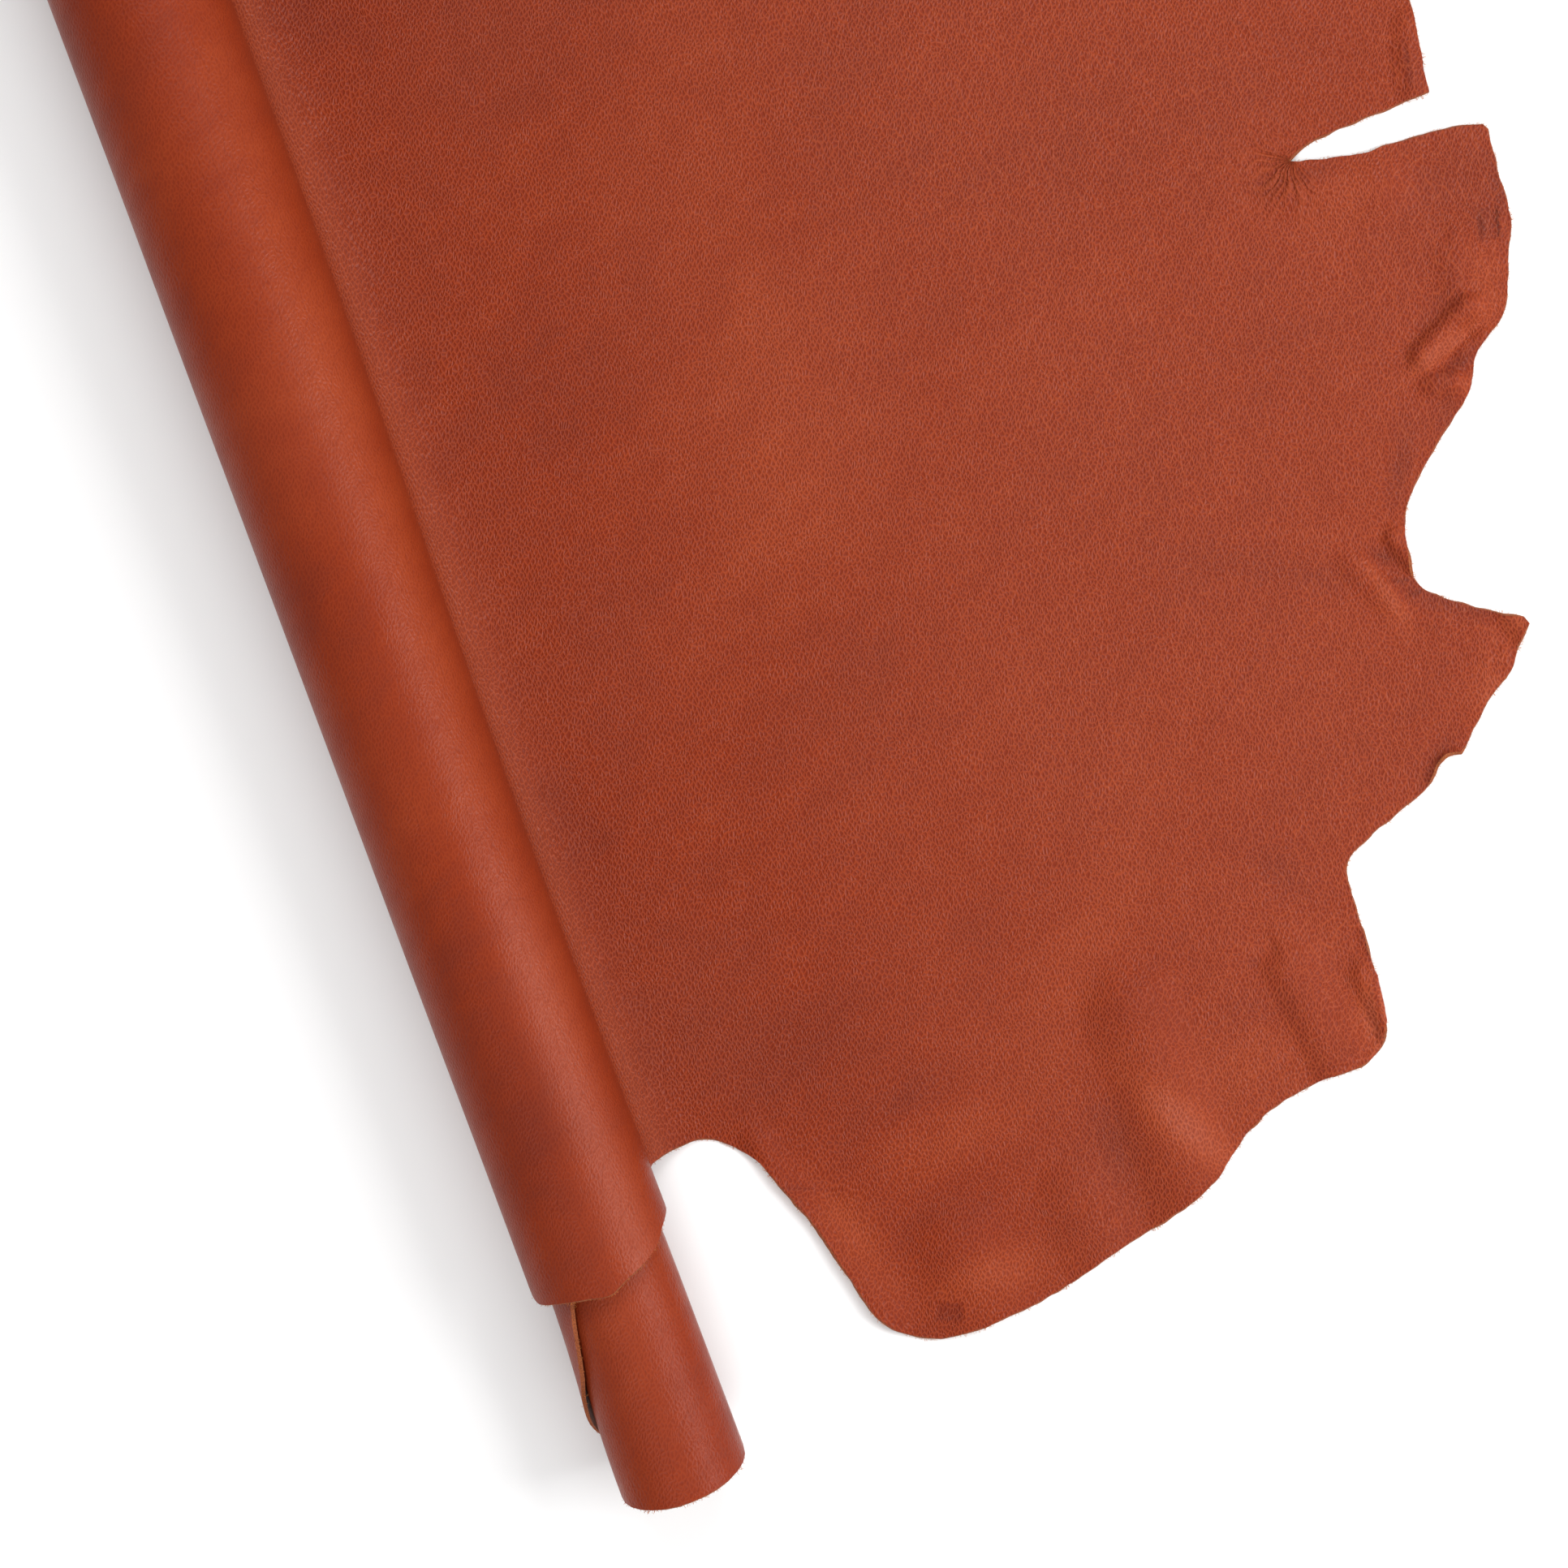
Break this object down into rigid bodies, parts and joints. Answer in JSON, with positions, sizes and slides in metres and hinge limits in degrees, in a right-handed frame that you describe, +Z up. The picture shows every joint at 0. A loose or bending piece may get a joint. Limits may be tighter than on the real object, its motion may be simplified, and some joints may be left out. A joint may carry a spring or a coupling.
{
  "type": "leather hide",
  "caption": "Side of full-grain cowhide lying grain side up and partly rolled up, ready for cutting into leather goods.",
  "frame": {"origin": "on the surface the hide lies on, under the middle of its bounding box", "axes": "+Y along the roll from the belly end to the backbone cut, +X from the roll across the flat part to the butt end, +Z up, away from the surface"},
  "size_m": [0.7986, 1.1584, 0.1036],
  "materials": {
    "leather": "aniline-dyed rust brown, satin, milled pebble grain"
  },
  "bodies": {
    "root": {"hide": "leather"}
  },
  "joints": []
}
